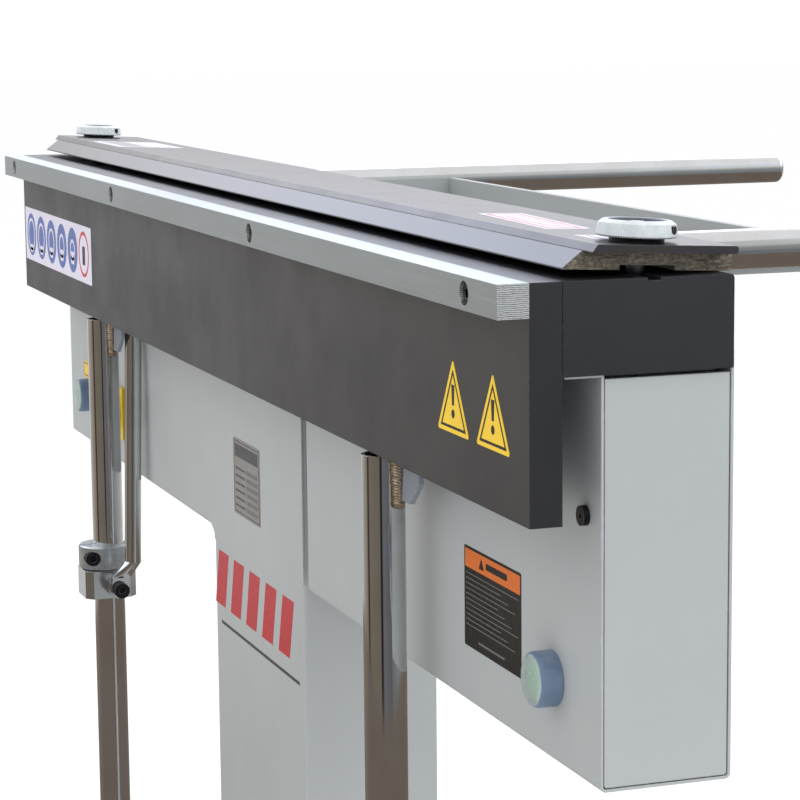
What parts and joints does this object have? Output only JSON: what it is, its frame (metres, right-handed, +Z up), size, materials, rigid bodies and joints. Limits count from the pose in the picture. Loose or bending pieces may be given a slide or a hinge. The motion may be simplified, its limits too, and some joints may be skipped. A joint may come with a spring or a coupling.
{
  "type": "magnetic sheet metal brake",
  "caption": "Floor-standing electromagnetic sheet metal brake with tilting clamp bar, swinging bending beam, pull handles and angle stop.",
  "frame": {"origin": "centre of the four floor anchor holes, on the floor", "axes": "+X along the bed towards the control box, +Y to the rear, +Z up"},
  "size_m": [1.2568, 0.8675, 0.9579],
  "materials": {
    "dark_paint": "satin textured charcoal powder coat",
    "clamp_steel": "charcoal powder coat with bare sawn steel ends",
    "grey_paint": "light grey semi-gloss powder coat",
    "ground_steel": "bright ground steel",
    "plain_steel": "machined steel",
    "chrome": "polished chrome",
    "aluminium": "satin aluminium",
    "backstop_steel": "light grey powder coat",
    "black_oxide": "black oxide",
    "zinc": "zinc plate",
    "black_plastic": "black moulded plastic",
    "yellow_plastic": "yellow plastic",
    "green_plastic": "green plastic",
    "clear_rubber": "milky clear silicone",
    "copper_coil": "enamelled copper winding",
    "module": "black anodised heat sink",
    "lamination": "laminated iron core"
  },
  "bodies": {
    "frame": {"magnet_body": "dark_paint", "magnet_coil": "copper_coil", "magnet_cover": "plain_steel", "hinge_block_left": "plain_steel", "hinge_block_right": "plain_steel", "stand_body": "grey_paint", "right_box": "grey_paint", "box_spacers": "plain_steel", "end_cover_left": "grey_paint", "end_cover_right": "grey_paint", "cover_screws": "black_oxide", "column_head": "plain_steel", "frame_bolts": "zinc", "back_cover": "grey_paint", "cable_gland": "black_plastic", "base_plate": "grey_paint", "foot_rails": "grey_paint", "link_bracket": "grey_paint", "backstop_rods": "chrome", "rear_tray": "grey_paint", "tray_screws": "zinc", "start_boot_left": "clear_rubber", "start_boot_right": "clear_rubber", "main_switch_plate": "yellow_plastic", "rectifier_module": "module", "transformer": "lamination", "beam_microswitch": "black_plastic"},
    "beam": {"bending_beam": "dark_paint", "extension_bar": "ground_steel", "extension_screws": "black_oxide", "handle_bracket_left": "grey_paint", "handle_bracket_right": "grey_paint", "handle_bracket_bolts": "black_oxide", "handle_tube_left": "chrome", "handle_tube_right": "chrome", "handle_plugs": "black_plastic", "hinge_sector_left": "plain_steel", "hinge_sector_right": "plain_steel"},
    "hinge_link_left": {"hinge_link_left": "plain_steel"},
    "hinge_link_right": {"hinge_link_right": "plain_steel"},
    "slider": {"slider_block": "chrome", "slider_bolt": "black_oxide"},
    "collar": {"stop_collar": "aluminium", "stop_collar_screw": "black_oxide"},
    "link": {"link_rod": "chrome", "link_top_bolt": "black_oxide"},
    "bar_rest": {"locating_balls": "plain_steel"},
    "clamp_bar": {"clamp_bar": "clamp_steel", "clamp_cap": "dark_paint"},
    "knob_left": {"adjuster_knob_left": "aluminium", "adjuster_shaft_left": "black_oxide"},
    "knob_right": {"adjuster_knob_right": "aluminium", "adjuster_shaft_right": "black_oxide"},
    "backstop": {"backstop_saddles": "aluminium", "backstop_thumb_screws": "black_plastic", "backstop_bar": "backstop_steel", "backstop_bar_screws": "zinc"},
    "start_button_left": {"start_button_left": "green_plastic"},
    "start_button_right": {"start_button_right": "green_plastic"},
    "main_switch": {"main_switch_knob": "black_plastic"}
  },
  "joints": [
    {"name": "beam_swing", "type": "hinge", "parent": "frame", "child": "beam", "pos_m": [0, -0.0705, 0.93], "axis": [-1, 0, 0], "range_deg": [0, 110]},
    {"name": "hinge_link_left_turn", "type": "hinge", "parent": "frame", "child": "hinge_link_left", "pos_m": [0, -0.0705, 0.93], "axis": [-1, 0, 0], "range_deg": [0, 55]},
    {"name": "hinge_link_right_turn", "type": "hinge", "parent": "frame", "child": "hinge_link_right", "pos_m": [0, -0.0705, 0.93], "axis": [-1, 0, 0], "range_deg": [0, 55]},
    {"name": "slider_slide", "type": "slide", "parent": "beam", "child": "slider", "axis": [0, 0, 1], "range_m": [0, 0.1548]},
    {"name": "collar_slide", "type": "slide", "parent": "beam", "child": "collar", "axis": [0, 0, 1], "range_m": [0, 0.1548]},
    {"name": "link_swing", "type": "hinge", "parent": "slider", "child": "link", "pos_m": [-0.326, -0.0755, 0.577], "axis": [-1, 0, 0], "range_deg": [0, 17.38]},
    {"name": "clamp_bar_lift", "type": "slide", "parent": "frame", "child": "bar_rest", "axis": [0, 0, 1], "range_m": [0, 0.15]},
    {"name": "clamp_bar_press", "type": "hinge", "parent": "bar_rest", "child": "clamp_bar", "pos_m": [0, 0.0249, 0.9303], "axis": [1, 0, 0], "range_deg": [0, 2.8], "stiffness_Nm_per_rad": 50, "springref_deg": -8.59},
    {"name": "knob_left_turn", "type": "hinge", "parent": "clamp_bar", "child": "knob_left", "pos_m": [-0.602, -0.02076, 0.94655], "axis": [0, 0.0488, 0.9988], "range_deg": [-90, 90]},
    {"name": "knob_right_turn", "type": "hinge", "parent": "clamp_bar", "child": "knob_right", "pos_m": [0.602, -0.02076, 0.94655], "axis": [0, 0.0488, 0.9988], "range_deg": [-90, 90]},
    {"name": "backstop_slide", "type": "slide", "parent": "frame", "child": "backstop", "axis": [0, 1, 0], "range_m": [0, 0.47]},
    {"name": "start_button_left_press", "type": "slide", "parent": "frame", "child": "start_button_left", "axis": [0, 1, 0], "range_m": [0, 0.002], "stiffness_N_per_m": 800, "springref_m": -0.002},
    {"name": "start_button_right_press", "type": "slide", "parent": "frame", "child": "start_button_right", "axis": [0, 1, 0], "range_m": [0, 0.002], "stiffness_N_per_m": 800, "springref_m": -0.002},
    {"name": "main_switch_turn", "type": "hinge", "parent": "frame", "child": "main_switch", "pos_m": [-0.426, -0.0555, 0.714], "axis": [0, -1, 0], "range_deg": [-90, 0]}
  ],
  "couplings": [
    {"joint": "hinge_link_left_turn", "follows": "beam_swing", "ratio": 0.5},
    {"joint": "hinge_link_right_turn", "follows": "beam_swing", "ratio": 0.5},
    {"joint": "slider_slide", "follows": "beam_swing", "m_per_rad": 0.08037},
    {"joint": "collar_slide", "follows": "beam_swing", "m_per_rad": 0.08037},
    {"joint": "link_swing", "follows": "beam_swing", "ratio": 0.15755}
  ]
}
